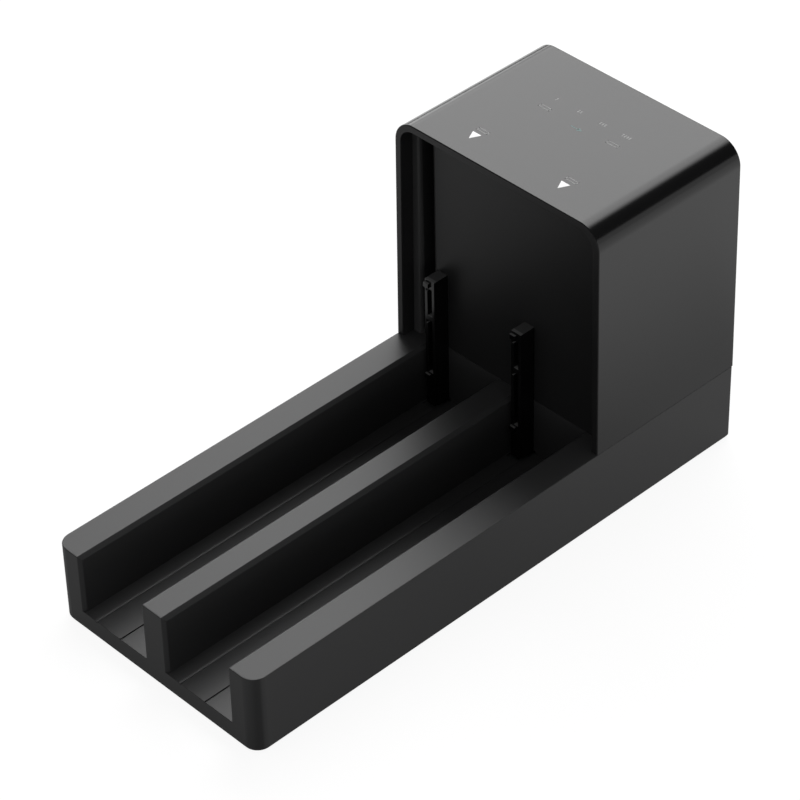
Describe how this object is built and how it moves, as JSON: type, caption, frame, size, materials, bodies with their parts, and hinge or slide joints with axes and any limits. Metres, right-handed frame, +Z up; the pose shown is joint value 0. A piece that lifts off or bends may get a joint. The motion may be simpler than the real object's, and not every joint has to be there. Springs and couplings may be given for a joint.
{
  "type": "hard drive docking station",
  "caption": "Sled-shaped dock with two open channels for upright hard drives, a tower with a hood and drive sockets at the back, and a rear power rocker and clone button.",
  "frame": {"origin": "middle of the footprint, on the surface that the rubber feet stand on", "axes": "+X to the right seen from the open front, +Y along the channels towards the tower and the rear connections, +Z up"},
  "size_m": [0.088, 0.205, 0.113],
  "materials": {
    "tray_plastic": "satin black moulded plastic, fine spark-eroded grain",
    "cover_plastic": "smooth dark grey plastic, semi-gloss",
    "panel_plastic": "matt black moulded plastic",
    "plate_plastic": "matt black moulded plastic",
    "socket_plastic": "black connector moulding",
    "foot_rubber": "matt rubber",
    "screw_steel": "zinc plated",
    "shell_steel": "nickel plated sheet",
    "contact_brass": "gold flash on brass",
    "board_green": "solder mask over glass fibre laminate",
    "chip_black": "moulded package",
    "can_metal": "drawn can",
    "ferrite": "pressed ferrite",
    "insert_blue": "moulded insert",
    "lead_red": "insulated wire",
    "led_white": "light emitting diode package",
    "guide_clear": "clear moulded light guide",
    "ribbon_white": "flat flexible cable",
    "button_plastic": "satin black moulded plastic"
  },
  "bodies": {
    "dock": {"base_tray": "tray_plastic", "bottom_plate": "plate_plastic", "rubber_feet": "foot_rubber", "plate_screws": "screw_steel", "tower_cover": "cover_plastic", "cover_screws": "screw_steel", "front_panel": "panel_plastic", "rear_panel": "panel_plastic", "rear_screws": "screw_steel", "source_socket": "socket_plastic", "target_socket": "socket_plastic", "source_contacts": "contact_brass", "target_contacts": "contact_brass", "backplane_board": "board_green", "backplane_screws": "screw_steel", "main_board": "board_green", "board_screws": "screw_steel", "link_header": "chip_black", "link_pins": "contact_brass", "bridge_chip": "chip_black", "flash_chip": "chip_black", "crystal": "can_metal", "power_inductors": "ferrite", "capacitors": "can_metal", "regulators": "chip_black", "usb_shell": "shell_steel", "usb_insert": "insert_blue", "power_inlet": "socket_plastic", "inlet_pin": "shell_steel", "switch_housing": "socket_plastic", "switch_terminals": "shell_steel", "switch_leads": "lead_red", "clone_switch": "can_metal", "led_board": "board_green", "status_leds": "led_white", "light_guide": "guide_clear", "led_screws": "screw_steel", "led_ribbon": "ribbon_white", "ribbon_connectors": "ribbon_white"},
    "rocker": {"power_rocker": "button_plastic"},
    "button": {"clone_button": "button_plastic", "clone_plunger": "chip_black"}
  },
  "joints": [
    {"name": "power_rocker_tilt", "type": "hinge", "parent": "dock", "child": "rocker", "pos_m": [-0.0265, 0.0991, 0.0169], "axis": [0, 0, 1], "range_deg": [0, 16]},
    {"name": "clone_button_press", "type": "slide", "parent": "dock", "child": "button", "axis": [0, -1, 0], "range_m": [0, 0.0006], "stiffness_N_per_m": 600, "springref_m": -0.0005}
  ]
}
